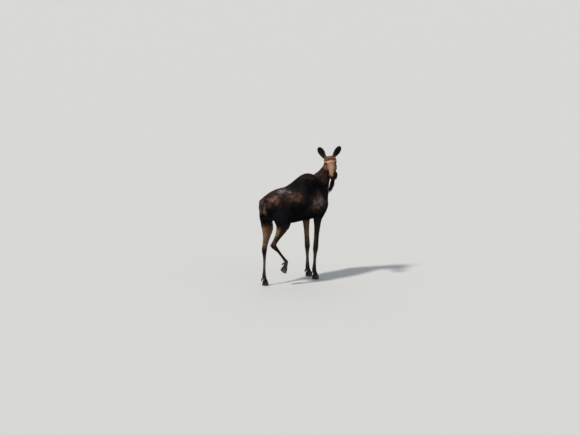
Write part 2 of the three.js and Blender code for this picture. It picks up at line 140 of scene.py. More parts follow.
def line_of(region):
    """The line that a region's hair follows, in the animal's frame."""
    if region in LEG_LINES:
        return np.array(LEG_LINES[region])
    if region in EARS:
        return from_head(EAR_LINES[region])
    if region == "bell":
        return from_head(BELL_ROOT) + np.array(BELL_DROPS)
    if region == "head":
        return from_head([(HEAD_LENGTH, 0, -110), (0, 0, -90)])
    return np.array({"neck": NECK_LINE, "trunk": TRUNK_LINE, "tail": TAIL_LINE}[region])


def step(low, high, values):
    """0 below low and 1 above high, with a smooth rise between them."""
    t = np.clip((values - low) / (high - low), 0, 1)
    return t * t * (3 - 2 * t)


def bump(values, centre, width):
    """1 at a centre, falling smoothly to almost 0 a width away."""
    return np.exp(-3 * ((values - centre) / width) ** 2)


def blob(points, centre, radii):
    """1 at a centre, falling smoothly to almost 0 at an ellipsoid's radii."""
    return np.exp(-3 * (((points - np.array(centre)) / np.array(radii)) ** 2).sum(axis=1))


def mounds(points, moves):
    """How far soft mounds and hollows raise each point: each one's height, centre and radii."""
    return sum(height * blob(points, centre, radii) for height, centre, radii in moves)


def mirrored(points):
    """Points folded onto the left side."""
    return np.column_stack([points[:, 0], np.abs(points[:, 1]), points[:, 2]])


def within(points, low, high):
    """Whether each point lies inside a box."""
    return ((points > low) & (points < high)).all(axis=1)


def waves(points, size, seed):
    """A soft random field of about -1 to 1, with features of about that size."""
    source = np.random.default_rng(seed)
    total = np.zeros(len(points))
    for _ in range(9):
        direction = unit(source.normal(size=3)) * source.uniform(0.6, 1.5) * 2 * math.pi / size
        total += np.sin(points @ direction + source.uniform(0, 2 * math.pi))
    return total / 3


def along_line(points, line):
    """How far along a line each point lies (0 to 1), the line's direction there and the place on it."""
    best = np.full(len(points), np.inf)
    place = np.zeros(len(points))
    direction = np.zeros((len(points), 3))
    foot = np.zeros((len(points), 3))
    lengths = np.linalg.norm(np.diff(line, axis=0), axis=1)
    done = 0.0
    for start, end, length in zip(line[:-1], line[1:], lengths):
        axis = (end - start) / length
        t = np.clip((points - start) @ axis, 0, length)
        at = start + t[:, None] * axis
        distance = np.linalg.norm(points - at, axis=1)
        nearer = distance < best
        best[nearer] = distance[nearer]
        place[nearer] = ((done + t) / lengths.sum())[nearer]
        direction[nearer] = axis
        foot[nearer] = at[nearer]
        done += length
    return place, direction, foot


# ---- Meshes as arrays


def new_mesh(name, points, faces):
    """A smooth-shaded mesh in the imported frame, of faces that all have the same number of corners."""
    count, corners = faces.shape
    mesh = bpy.data.meshes.new(name)
    mesh.vertices.add(len(points))
    mesh.vertices.foreach_set("co", (points + ORIGIN).astype(np.float32).ravel())
    mesh.loops.add(count * corners)
    mesh.loops.foreach_set("vertex_index", faces.astype(np.int32).ravel())
    mesh.polygons.add(count)
    mesh.polygons.foreach_set("loop_start", np.arange(0, count * corners, corners, dtype=np.int32))
    mesh.update(calc_edges=True)
    mesh.shade_smooth()
    return mesh


def new_object(name, data):
    """A mesh's, light's or camera's object, linked to the scene."""
    made = bpy.data.objects.new(name, data)
    bpy.context.scene.collection.objects.link(made)
    return made


def read(items, key, width, number=float):
    """One property of all items, as rows of so many numbers."""
    found = np.empty(len(items) * width, number)
    items.foreach_get(key, found)
    return found.reshape(-1, width)


def points_of(mesh):
    """A mesh's points in the animal's frame."""
    return read(mesh.vertices, "co", 3) - ORIGIN


def set_points(mesh, points):
    """Moves a mesh's points."""
    mesh.vertices.foreach_set("co", (points + ORIGIN).astype(np.float32).ravel())
    mesh.update()


def triangles_of(mesh):
    """A mesh's triangles, as rows of three point numbers."""
    mesh.calc_loop_triangles()
    return read(mesh.loop_triangles, "vertices", 3, np.int32)


def normals_at(points, triangles):
    """The surface's normal at each point."""
    a, b, c = (points[triangles[:, k]] for k in range(3))

    def gathered(values):
        return sum(np.bincount(triangles[:, k], values, len(points)) for k in range(3))

    return unit(np.column_stack([gathered(values) for values in np.cross(b - a, c - a).T]))


class Net:
    """Which points of a mesh neighbour which."""

    def __init__(self, mesh):
        edges = read(mesh.edges, "vertices", 2, np.int32)
        pairs = np.vstack([edges, edges[:, ::-1]])
        order = np.argsort(pairs[:, 0], kind="stable")
        self.target = pairs[order, 1]
        self.degree = np.bincount(pairs[:, 0], minlength=len(mesh.vertices))
        self.first = np.concatenate([[0], np.cumsum(self.degree)[:-1]])

    def mean(self, values):
        """The mean of every point's neighbours."""
        total = np.add.reduceat(values[self.target], self.first, axis=0)
        return total / self.degree.reshape((-1,) + (1,) * (values.ndim - 1))

    def spread(self, values, rounds, strength=0.5):
        """Values evened out over the surface."""
        for _ in range(rounds):
            values = values + strength * (self.mean(values) - values)
        return values


def welded(node):
    """A node's points in the animal's frame and its triangles, with points that coincide joined."""
    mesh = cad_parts[node].data
    joined, place = np.unique(np.round(points_of(mesh), 6), axis=0, return_inverse=True)
    return joined, place.reshape(-1)[triangles_of(mesh)]


def joined(parts):
    """The points and faces of several meshes as one."""
    starts = np.cumsum([0] + [len(points) for points, _ in parts])
    faces = [own + start for (_, own), start in zip(parts, starts)]
    return np.vstack([points for points, _ in parts]), np.vstack(faces)


def remeshed(points, faces, voxel):
    """A closed mesh of even quads round one or more closed meshes."""
    source = new_object("remesh_source", new_mesh("remesh_source", points, faces))
    modifier = source.modifiers.new("voxels", "REMESH")
    modifier.mode = "VOXEL"
    modifier.voxel_size = voxel
    made = bpy.data.meshes.new_from_object(source.evaluated_get(bpy.context.evaluated_depsgraph_get()))
    bpy.data.objects.remove(source)
    made.shade_smooth()
    return made


# ---- The skin's form

VOXEL = 0.0076
CLOSING = 0.0006  # how far the solids grow, so that the thin cuts between them close
SMOOTH_ROUNDS = 70

EYE_ZONE, NOSTRIL_ZONE, MOUTH_ZONE = 46, 44, 14  # how far from each the mesh is finer, in millimetres
REGROWTH = 1.02  # how much of a round's shrinking is undone where it is undone
# How many rounds of smoothing blend a field from region to region.
REGION_BLEND, EDGE_BLEND, DEPTH_BLEND, LIE_BLEND = 24, 20, 6, 8

# How strongly each region is smoothed, and whether the shrinking that this causes is undone.
SMOOTHING = {"trunk": (0.6, 0), "neck": (0.5, 0), "head": (0.5, 1), "leg": (0.35, 1), "ear": (0.2, 1),
             "bell": (0.3, 1), "tail": (0.3, 1)}
# How deep the skin lies inside the solids, in millimetres.
COAT_DEPTH = {"trunk": 2.5, "neck": 4, "head": 2, "leg": 2, "ear": 1.2, "bell": 4, "tail": 4}


def kind(region):
    """A region's name without its side and place."""
    return region.split("_")[0]


def per_region(table):
    """A table's value or row for each region, in their order."""
    return np.array([table[kind(region)] for region in REGIONS], float)


class Flesh:
    """The solids of flesh, which tell where each region of the skin is."""

    def __init__(self):
        solids = [welded(region) for region in REGIONS]
        self.points, self.faces = joined(solids)
        self.owners = np.repeat(np.arange(len(solids)), [len(faces) for _, faces in solids])
        self.tree = BVHTree.FromPolygons(self.points.tolist(), self.faces.tolist())

    def body_mesh(self):
        """One closed mesh round all flesh and both eyes, whose lids are shaped later."""
        grown = self.points + CLOSING * normals_at(self.points, self.faces)
        eyes = [welded(f"eye_{side}") for side in SIDES]
        return remeshed(*joined([(grown, self.faces), *eyes]), VOXEL)

    def regions_at(self, points):
        """Each point's region as a row of ones and zeros."""
        found = np.zeros((len(points), len(REGIONS)))
        for row, point in enumerate(points.tolist()):
            found[row, self.owners[self.tree.find_nearest(point)[2]]] = 1
        return found


def refine(mesh, chosen):
    """Splits the faces between chosen points into four."""
    shape = bmesh.new()
    shape.from_mesh(mesh)
    edges = [e for e in shape.edges if chosen[e.verts[0].index] and chosen[e.verts[1].index]]
    bmesh.ops.subdivide_edges(shape, edges=edges, cuts=1, use_grid_fill=True)
    shape.to_mesh(mesh)
    shape.free()
    mesh.shade_smooth()


def smooth_body(mesh, regions):
    """Evens out the solids' facets and the edges where they meet."""
    net = Net(mesh)
    strength, undone = np.hsplit(net.spread(regions, EDGE_BLEND) @ per_region(SMOOTHING), 2)
    points = points_of(mesh)
    for _ in range(SMOOTH_ROUNDS):
        points = points + strength * (net.mean(points) - points)
        points = points - strength * undone * REGROWTH * (net.mean(points) - points)
    set_points(mesh, points)


def near_features(points):
    """Whether each point lies by an eye, a nostril or the mouth, in the head's frame."""
    found = np.zeros(len(points), bool)
    for name, side in SIDES.items():
        found |= np.linalg.norm(points - eye_centre(name), axis=1) < EYE_ZONE
        found |= np.linalg.norm(points - NOSTRIL * (1, side, 1), axis=1) < NOSTRIL_ZONE
    by_mouth = np.abs(mouth_height(points) - points[:, 2]) < MOUTH_ZONE
    return found | (by_mouth & within(points, (330, -90, -math.inf), (640, 90, math.inf)))


def mouth_height(points):
    """How high the line between the lips lies at each point's place along the face."""
    return np.interp(points[:, 0], [330, 400, 480, 540, 600, 620], [-168, -158, -150, -146, -136, -130])


def skin_mesh(flesh):
    """The skin's mesh before it is drawn in by the coat's depth."""
    mesh = flesh.body_mesh()
    smooth_body(mesh, flesh.regions_at(points_of(mesh)))
    for chosen in (lambda q: q[:, 0] > -40, near_features):
        q = to_head(points_of(mesh))
        low, high = (-math.inf, -HEAD_SIDE, -250), (NOSE_END, HEAD_SIDE, 60)
        refine(mesh, within(q, low, high) & chosen(q))
    net = Net(mesh)
    points = points_of(mesh)
    fine = to_head(points)[:, 0] > -60
    evened = net.spread(points, 3)
    points[fine] = evened[fine]
    set_points(mesh, points)
    return mesh


# ---- The head's features, as moves of points in the head's frame, in millimetres

GAZE = {name: unit(np.array([0.58, side, 0.08])) for name, side in SIDES.items()}
LID_RADIUS = EYE_RADIUS + 3.2
LID_REACH = 42
LID_CORNER = 56  # degrees from the gaze to each corner of the lids
NOSTRIL = np.array([566, 58, -84])
NOSTRIL_REACH = 60


def eye_axes(side_name):
    """An eye's directions along the face, upwards, and out along its gaze."""
    gaze = GAZE[side_name]
    forward = unit(np.cross(gaze, (0, 0, 1)) * SIDES[side_name])
    up = np.cross(forward, gaze)
    return forward, up * np.sign(up[2]), gaze


def eye_angles(offsets, side_name):
    """Angles across and up from an eye's gaze to each offset from its centre, in degrees."""
    across, up, depth = (offsets @ axis for axis in eye_axes(side_name))
    return np.degrees(np.arctan2(across, depth)), np.degrees(np.arctan2(up, depth))


def lid_opening(across, up):
    """Below 0 between the lids and above 0 on them."""
    reach = np.sqrt(np.clip(1 - (across / LID_CORNER) ** 2, 0, 1))
    middle = -0.08 * across + 1
    half = np.where(up > middle, 24, 19) * reach ** 1.3
    outside = np.abs(up - middle) - half
    return np.where(np.abs(across) > LID_CORNER, np.maximum(outside, 8), outside)


def shape_eyes(points):
    """Lids over both eyeballs, with a fold above and below."""
    for name in SIDES:
        offsets = points - eye_centre(name)
        distance = np.linalg.norm(offsets, axis=1)
        across, up = eye_angles(offsets, name)
        near = (offsets @ GAZE[name] > 0) & (distance < LID_REACH)
        opening = lid_opening(across, up)
        blend = 1 - step(EYE_RADIUS + 4, LID_REACH, distance)
        lid = np.maximum(distance, LID_RADIUS)
        lid = distance + (lid - distance) * np.maximum(blend, 0.6)
        crease = bump(opening, 17, 9) * (np.abs(across) < 70) * blend
        lid = lid - 2.2 * crease
        rim = bump(opening, 9, 6) * (np.abs(across) < 62)
        bare = 1 - step(-9, 7, opening)
        target = lid + 0.9 * rim + (EYE_RADIUS - 4.5 - lid) * bare
        scale = np.where(near, target / np.maximum(distance, 1), 1)
        points = eye_centre(name) + offsets * scale[:, None]
    return points


def nostril(points, side):
    """How deep each point lies in a nostril: 1 in its middle, 0 on its rim and less outside."""
    along = unit(np.array([0.86, 0, -0.51]))
    over = np.array([-along[2], 0, along[0]])
    offset = points - NOSTRIL * (1, side, 1)
    a = offset @ along
    b = offset @ over - 0.006 * a ** 2
    return 1 - np.hypot(a / 25, b / (9.5 + 0.1 * a))


def shape_nostrils(points, normals):
    """Deep comma-shaped nostrils with raised rims."""
    for side in SIDES.values():
        depth = nostril(points, side)
        outer = points[:, 1] * side > 18
        inward = unit(np.array([-0.35, -side, 0.1]))
        sunk = step(0, 0.55, depth) * outer
        by_nostril = np.linalg.norm(points - NOSTRIL * (1, side, 1), axis=1) < NOSTRIL_REACH
        rim = bump(depth, -0.3, 0.42) * outer * by_nostril
        points = points + 17 * sunk[:, None] * inward + 2.6 * rim[:, None] * normals
    return points


def shape_mouth(points, normals):
    """The line between the lips, a full upper lip and a groove below the nose."""
    x, y, z = points.T
    gap = z - mouth_height(points)
    groove = bump(gap, 0, 5) * step(352, 400, x)
    lip = bump(gap, 9, 10) * step(500, 560, x)
    corner = blob(points, (366, 0, -160), (22, 90, 16))
    middle = bump(y, 0, 6) * step(575, 605, x) * (z > -128)
    wrinkles = np.sin(x / 3.1) * blob(points, (385, 0, -152), (40, 90, 20))
    amount = -5 * groove + 2.2 * lip - 2 * corner - 1.8 * middle + 0.5 * wrinkles
    return points + amount[:, None] * normals


FACE_MOUNDS = [
    (4.0, (262, 70, -84), (110, 40, 15)),  # facial crest
    (-5.0, (300, 62, -48), (80, 40, 24)),  # hollow above it
    (-3.5, (230, 84, -52), (22, 30, 10)),  # tear pit in front of the eye
    (-4.0, (60, 98, -36), (34, 40, 30)),  # temple
    (3.0, (196, 84, -2), (40, 26, 12)),  # brow over the eye
    (-3.0, (180, 0, 14), (70, 34, 30)),  # between the brows
    (-4.0, (330, 55, -140), (120, 40, 14)),  # between jaw and cheek teeth
    (3.0, (600, 0, -70), (40, 40, 40)),  # nose pad
    (2.5, (470, 42, -172), (50, 30, 18)),  # lower lip
]


def shape_face(points, normals):
    """Bone and muscle under the skin of the face, and folds of skin beside the nose."""
    p = mirrored(points)
    folds = np.sin(p[:, 0] / 4.6 + 0.02 * p[:, 1]) * blob(p, (505, 66, -52), (48, 34, 34))
    amount = mounds(p, FACE_MOUNDS) + 0.9 * folds
    return points + amount[:, None] * normals


def shape_head(mesh):
    """Applies every feature of the head to the skin."""
    points = points_of(mesh)
    normals = normals_at(points, triangles_of(mesh)) @ HEAD_AXES.T
    q = to_head(points)
    on_head = within(q, (20, -HEAD_SIDE, -245), (NOSE_END, HEAD_SIDE, 70))
    part = q[on_head]
    for shape in (shape_face, shape_mouth, shape_nostrils):
        part = shape(part, normals[on_head])
    points[on_head] = from_head(shape_eyes(part))
    set_points(mesh, points)


# ---- The body's features


BODY_MOUNDS = [
    (0.012, (0.47, 0.16, 1.6), (0.09, 0.1, 0.06)),  # hip bone
    (-0.014, (0.6, 0.24, 1.48), (0.13, 0.2, 0.12)),  # hollow of the flank
    (0.01, (0.1, 0.12, 1.47), (0.07, 0.07, 0.07)),  # seat bone
    (-0.012, (1.12, 0.2, 1.38), (0.06, 0.2, 0.3)),  # behind the shoulder
    (0.008, (1.2, 0.16, 1.56), (0.05, 0.2, 0.2)),  # ridge of the shoulder blade
    (-0.01, (1.25, 0.22, 1.08), (0.06, 0.1, 0.06)),  # elbow fold
]


def shape_body(points, normals):
    """Bones, muscles and folds that the solids only suggest, in the animal's frame."""
    p = mirrored(points)
    ribs = np.sin(p[:, 0] / 0.0125) * blob(p, (0.88, 0.29, 1.3), (0.2, 0.14, 0.24))
    amount = mounds(p, BODY_MOUNDS) + 0.0013 * ribs
    return points + amount[:, None] * normals


def shape_legs(points, normals, weights):
    """The groove between each cannon bone and the tendon behind it, and knuckled joints."""
    for region in LEG_NAMES:
        own = weights[:, REGIONS.index(region)] > 0.5
        line = line_of(region)
        joint, pastern = line[2], line[3]
        axis = unit(pastern - joint)
        forward = unit(np.array([1, 0, 0]) - axis * axis[0])
        length = np.linalg.norm(pastern - joint)
        offset = points[own] - joint
        t = offset @ axis / length
        ahead = offset @ forward
        sideways = np.abs(normals[own][:, 1])
        window = step(0.1, 0.3, t) * (1 - step(0.82, 0.95, t))
        groove = bump(ahead, -0.008, 0.009) * window * sideways
        second = bump(ahead, 0.012, 0.008) * window * sideways
        ankle = bump(t, 1.0, 0.09) * (ahead < -0.012)
        amount = -0.0034 * groove - 0.0012 * second + 0.003 * ankle
        points[own] += amount[:, None] * normals[own]
    return points


class Skin:
    """The finished skin: its mesh, and what the coat needs to know at each of its points."""

    def __init__(self, flesh):
        self.mesh = skin_mesh(flesh)
        self.triangles = triangles_of(self.mesh)
        self.net = Net(self.mesh)
        points = points_of(self.mesh)
        self.regions = self.net.spread(flesh.regions_at(points), REGION_BLEND)
        normals = normals_at(points, self.triangles)
        depth = self.net.spread(self.regions @ per_region(COAT_DEPTH), DEPTH_BLEND) / 1000
        points = points - depth[:, None] * normals
        points = shape_body(points, normals)
        points = shape_legs(points, normals, self.regions)
        set_points(self.mesh, points)
        shape_head(self.mesh)
        self.points = points_of(self.mesh)
        self.normals = normals_at(self.points, self.triangles)

    def weight(self, *names):
        """How much each point belongs to these regions."""
        return sum(self.regions[:, REGIONS.index(name)] for name in names)

    def blended(self, rows_of):
        """Rows at each point, mixed from those that a function gives for each region."""
        return sum(self.regions[:, number, None] * rows_of(name) for number, name in enumerate(REGIONS))


# ---- Markings with painted light and shade, in linear colour, shared by skin and coat

BLACK = (0.0024, 0.0025, 0.0038)
# Black hair with painted bluish sheen of the sky on it, used on the shaded thighs.
BLACK_WITH_SKY_SHEEN = (0.008, 0.01, 0.0145)
BLACK_BROWN = (0.017, 0.0115, 0.0105)
RED_BROWN = (0.076, 0.045, 0.042)
RUST = (0.28, 0.145, 0.1)
# The tail's own grey; on the loin it is painted sheen of the sky on the back's hair.
GREY_AND_SHEEN = (0.3, 0.235, 0.26)
STRAW = (0.43, 0.315, 0.245)
TAN = (0.19, 0.112, 0.06)
CANNON = (0.09, 0.066, 0.06)
EAR_BLACK = (0.008, 0.0055, 0.0052)
EAR_PALE = (0.026, 0.019, 0.016)
FACE_ORANGE = (0.125, 0.053, 0.023)
FACE_BROWN = (0.032, 0.016, 0.009)
FACE_TAN = (0.46, 0.285, 0.175)
NOSE_PINK = (0.29, 0.17, 0.108)
FACE_GREY = (0.14, 0.125, 0.12)
MUZZLE = (0.0045, 0.0036, 0.0036)


def painted(colours, *layers):
    """Colours turned towards one colour after another, each by an amount of 0 to 1 at each point."""
    for colour, amount in layers:
        colours = colours + np.clip(amount, 0, 1)[:, None] * (np.array(colour) - colours)
    return colours


def warped(points, size, amount, seed):
    """Points pushed about by a soft random field, so that patches get ragged edges."""
    return points + amount * np.column_stack([waves(points, size, seed + k) for k in range(3)])


def trunk_colours(colours, points, normals):
    """Black, with rust patches of moult on the rump and flank, a grey patch on the loin that is painted
    sheen, painted bluish sky sheen on the thighs, black as painted shade underneath, and straw on the
    shoulder.
    """
    p = mirrored(warped(points, 0.13, 0.028, 11))
    mottle = waves(points, 0.16, 3)
    fleck = waves(points, 0.042, 4)
    speck = waves(points, 0.02, 9)
    back = step(1.35, 1.65, points[:, 2])
    patchy = np.clip(0.75 + 0.3 * fleck + 0.3 * speck, 0, 1.2)
    shoulder = 1.3 * blob(p, (1.05, 0.21, 1.58), (0.27, 0.24, 0.29))
    shoulder += 1.2 * blob(p, (1.27, 0.18, 1.64), (0.26, 0.2, 0.2))
    straw = blob(p, (1.2, 0.26, 1.36), (0.26, 0.22, 0.19)) * step(-0.9, 0.9, 0.25 * fleck + 0.9 * speck)
    return painted(
        colours,
        (BLACK_BROWN, 0.3 + 0.35 * mottle + 0.35 * back),
        (RED_BROWN, 0.8 * blob(p, (1.16, 0.05, 1.8), (0.3, 0.13, 0.1)) * patchy),
        (RED_BROWN, 0.8 * blob(p, (1.46, 0.12, 1.8), (0.13, 0.16, 0.16)) * patchy),
        (RUST, 0.95 * blob(p, (0.18, 0.13, 1.51), (0.2, 0.15, 0.13)) * patchy),
        (RUST, 0.55 * blob(p, (0.6, 0.22, 1.52), (0.32, 0.16, 0.13)) * patchy),
        # Painted sheen: a grey patch on the loin, where the sky's sheen lies on the back.
        (GREY_AND_SHEEN, 0.95 * blob(p, (0.41, 0.1, 1.63), (0.26, 0.12, 0.09)) * patchy),
        (BLACK, shoulder),
        # The thighs' black hair with painted bluish sky sheen on it.
        (BLACK_WITH_SKY_SHEEN, 0.9 * blob(p, (0.24, 0.24, 1.29), (0.24, 0.16, 0.18))),
        (STRAW, 0.95 * straw),
        (TAN, blob(p, (0.015, 0.04, 1.33), (0.06, 0.07, 0.17)) * patchy),
        (STRAW, 0.3 * blob(p, (0.0, 0.07, 1.33), (0.08, 0.06, 0.18)) * patchy),
        # Black where the trunk faces down: painted shade under the body.
        (BLACK, 0.9 * step(0.15, 0.7, -normals[:, 2])),
    )


def leg_colours(colours, points, normals, hind):
    """Dark above and in front, tan behind and inside the shins, grey-brown shanks and dark feet. The tan and
    the paler shanks behind and inside are partly the legs' own paler hair and partly painted sunlight on the
    sides that face the light.
    """
    height = points[:, 2]
    fleck = waves(points, 0.05, 5)
    speck = waves(points, 0.02, 10)
    # The sides that face back and inwards, which are painted paler: partly the legs' own paler hair, partly
    # painted sunlight.
    rear = step(0.25, 0.8, -normals[:, 0])
    inner = step(-0.1, 0.6, -normals[:, 1] * np.sign(points[:, 1]))
    if hind:
        pale = np.maximum(rear, 0.9 * inner)
        edge = height + 0.025 * fleck + 0.015 * speck
        shin = step(0.6, 0.72, edge) * (1 - step(0.95, 1.08, edge))
        joint = bump(height, 0.6, 0.1)
    else:
        low = 1 - step(0.66, 0.82, height)
        pale = np.maximum(inner, 0.6 * rear * low)
        shin = bump(height + 0.02 * fleck, 0.8, 0.34)
        joint = bump(height, 0.52, 0.1)
    cannon = bump(height, 0.36, 0.26)
    return painted(
        colours,
        (BLACK_BROWN, 0.35 + 0.3 * fleck),
        # Tan and grey-brown, stronger behind and inside: partly paler hair, partly painted sunlight on the
        # lit sides.
        (TAN, shin * (0.08 + 0.92 * pale) * (0.85 + 0.2 * fleck + 0.15 * speck)),
        (CANNON, cannon * (0.35 + 0.5 * np.maximum(rear, inner) + 0.2 * fleck)),
        (BLACK_BROWN, 0.8 * joint * (0.7 + 0.3 * fleck)),
        (BLACK, 0.8 * (1 - step(0.07, 0.2, height))),
    )


def face_blaze_and_sunlight(q):
    """How much each point of the head lies in the pale wedge that narrows from the brow to the upper lip. It
    is partly the face's own pale hair and partly painted sunlight: the wedge is set off towards the animal's
    right, the lit side of the nose.
    """
    x = q[:, 0]
    # The wedge's middle moves to the animal's right towards the nose, where painted sunlight falls on the lit
    # side.
    middle = -np.interp(x, [300, 450, 620], [0, 22, 40])
    half = np.interp(x, [170, 260, 360, 470, 570, 620], [96, 84, 70, 58, 44, 18])
    across = np.abs(q[:, 1] - middle)
    edge = across - half + 10 * waves(q, 42, 31) + 5 * waves(q, 16, 32)
    return (1 - step(-20, 20, edge)) * step(-96, -50, q[:, 2]) * step(196, 224, x)


def head_colours(colours, q):
    """An orange-brown forehead, pale brow and bridge, dark eyes, muzzle, chin and throat. Painted light and
    shade among them: sunlight on the pale wedge's lit side, highlights along the top of the nose, shade on
    the muzzle's far side and round the eyes.
    """
    w = warped(q, 60, 6, 21)
    p = mirrored(w)
    x, y, z = p.T
    fleck = waves(q, 34, 6)
    speck = waves(q, 13, 8)
    ragged = 0.8 + 0.4 * speck
    blaze_and_sunlight = face_blaze_and_sunlight(w)
    between = bump(x, 238, 26) * (1 - step(60, 84, y)) * step(-50, -20, z)
    brow = bump(x, 202, 27) * (1 - step(96, 118, y)) * step(-50, -24, z)
    crown = bump(x, 120, 60) * step(-60, -20, z)
    streak = bump(y + 0.21 * (z + 23), 68, 19) * bump(x, 240, 85)
    streak = streak * step(-135, -95, z) * (1 - step(-18, -4, z))
    colours = painted(
        colours,
        (FACE_ORANGE, 0.85 + 0.15 * fleck),
        (RUST, 0.5 * blob(p, (250, 90, -90), (130, 50, 60))),
        # The pale wedge: partly pale hair, partly painted sunlight on the nose's lit side.
        (NOSE_PINK, blaze_and_sunlight * (0.78 + 0.3 * fleck)),
        (FACE_ORANGE, 0.75 * between * ragged),
        (FACE_TAN, brow * (1 + 0.3 * speck)),
        (FACE_BROWN, 0.85 * crown * step(0.05, 0.9, waves(q, 26, 41) + 0.4 * speck)),
        (FACE_TAN, 0.25 * crown * step(0.1, 1, waves(q, 36, 43))),
        (FACE_BROWN, 0.8 * blob(p, (128, 8, 22), (40, 30, 40)) * (0.9 + 0.3 * speck)),
        (FACE_BROWN, 0.8 * blob(p, (150, 62, 4), (40, 30, 40)) * (0.9 + 0.3 * speck)),
        (FACE_TAN, 0.45 * blob(p, (200, 92, -100), (110, 60, 70)) * ragged),
        # Painted highlight along the top of the nose.
        (FACE_TAN, 0.5 * blob(p, (480, 24, -20), (80, 30, 34))),
        (FACE_BROWN, 0.95 * streak * step(-1.3, 0.2, speck + 0.4 * fleck)),
        # Painted highlight on the bridge of the nose.
        (FACE_TAN, 0.55 * blob(p, (360, 26, 0), (80, 30, 30))),
        (FACE_GREY, 0.7 * blob(p, (104, 14, 20), (34, 24, 24)) * (0.8 + 0.3 * speck)),
        (FACE_BROWN, 0.3 * step(0.1, 1.1, fleck + 0.5 * speck) * step(220, 300, x)),
        # Dark muzzle: its own dark hair, and painted shade on the animal's left side of the nose where the
        # wedge leaves off.
        (MUZZLE, 0.96 * step(380, 500, x + 16 * fleck) * (1 - blaze_and_sunlight)),
        (MUZZLE, 0.92 * step(585, 612, x) * step(70, 98, -z)),
    )
    # Dark round each eye: painted shade in the socket under the brow.
    for name in SIDES:
        socket = np.linalg.norm((q - eye_centre(name) + (-7, 0, 3)) / (34, 29, 21), axis=1)
        colours = painted(colours, (MUZZLE, 0.9 * (1 - step(0.75, 1.25, socket))))
    jaw = step(162, 200, -z - 0.06 * x + 12)
    nape = 1 - step(10, 74, x + 0.35 * z + 20)
    return painted(colours, (MUZZLE, 0.9 * jaw), (BLACK_BROWN, 0.85 * nape))


def ear_colours(colours, points, region):
    """Nearly black ears with hair in the hollow only a little paler: its pale hair is darkened as painted
    shade.
    """
    place, _, foot = along_line(points, line_of(region))
    opening = HEAD_AXES[0] * 0.9 + HEAD_AXES[1] * 0.36 * SIDES[region[4:]]
    ahead = unit(points - foot) @ unit(opening)
    # The hollow, kept dark as painted shade over its paler hair.
    hollow = step(-0.2, 0.5, ahead) * (1 - step(0.6, 1.0, place))
    return painted(colours, (EAR_BLACK, np.full(len(points), 0.9)), (EAR_PALE, 0.6 * hollow))


def coat_colours(skin):
    """The colour at each of the skin's points."""
    points, normals = skin.points, skin.normals
    base = np.tile(BLACK, (len(points), 1))
    mottle = waves(points, 0.12, 7)
    dark = painted(base, (BLACK_BROWN, 0.55 + 0.35 * mottle))
    parts = {
        "trunk": trunk_colours(base, points, normals),
        "neck": painted(dark, (RED_BROWN, 0.42 + 0.35 * waves(points, 0.09, 14))),
        "head": head_colours(dark, to_head(points)),
        "bell": dark,
        "tail": painted(dark, (GREY_AND_SHEEN, 0.3 + 0.1 * mottle)),
        "hind": leg_colours(base, points, normals, True),
        "front": leg_colours(base, points, normals, False),
    }

    def colours_of(region):
        if region in EARS:
            return ear_colours(dark, points, region)
        return parts[region.split("_")[1] if region.startswith("leg") else region]

    return skin.blended(colours_of)


# ---- How the coat lies, and how long it is


def lie_of(region, points, normals):
    """The way the hair of one region points, before it is laid along the skin."""
    _, direction, _ = along_line(points, line_of(region))
    if region == "trunk":
        flank = np.abs(normals[:, 1])
        drop = -0.15 - 0.55 * flank - 1.6 * (1 - step(0.02, 0.22, points[:, 0]))
        drop -= 1.2 * step(1.42, 1.6, points[:, 0])
        return direction + drop[:, None] * (0, 0, 1)
    if region.startswith("leg"):
        return direction + (-0.22, 0, 0)
    if region == "head":
        return direction - 0.35 * HEAD_AXES[2] * np.abs(normals @ HEAD_AXES[1])[:, None]
    return direction


# Each kind of region's hair: length and width in millimetres, tufts to a square metre, and how steeply
# they leave the skin.
HAIR = {
    "trunk": (27, 4.4, 27000, 0.13),
    "neck": (36, 5.0, 25000, 0.15),
    "head": (12, 2.5, 84000, 0.15),
    "leg": (17, 3.1, 52000, 0.12),
    "ear": (12, 2.4, 80000, 0.2),
    "bell": (70, 6.0, 26000, 0.2),
    "tail": (48, 5.0, 30000, 0.20),
}
# How many rings of points a tuft has below its tip.
RINGS = {"trunk": 2, "neck": 2, "head": 1, "leg": 1, "ear": 1, "bell": 4, "tail": 4}


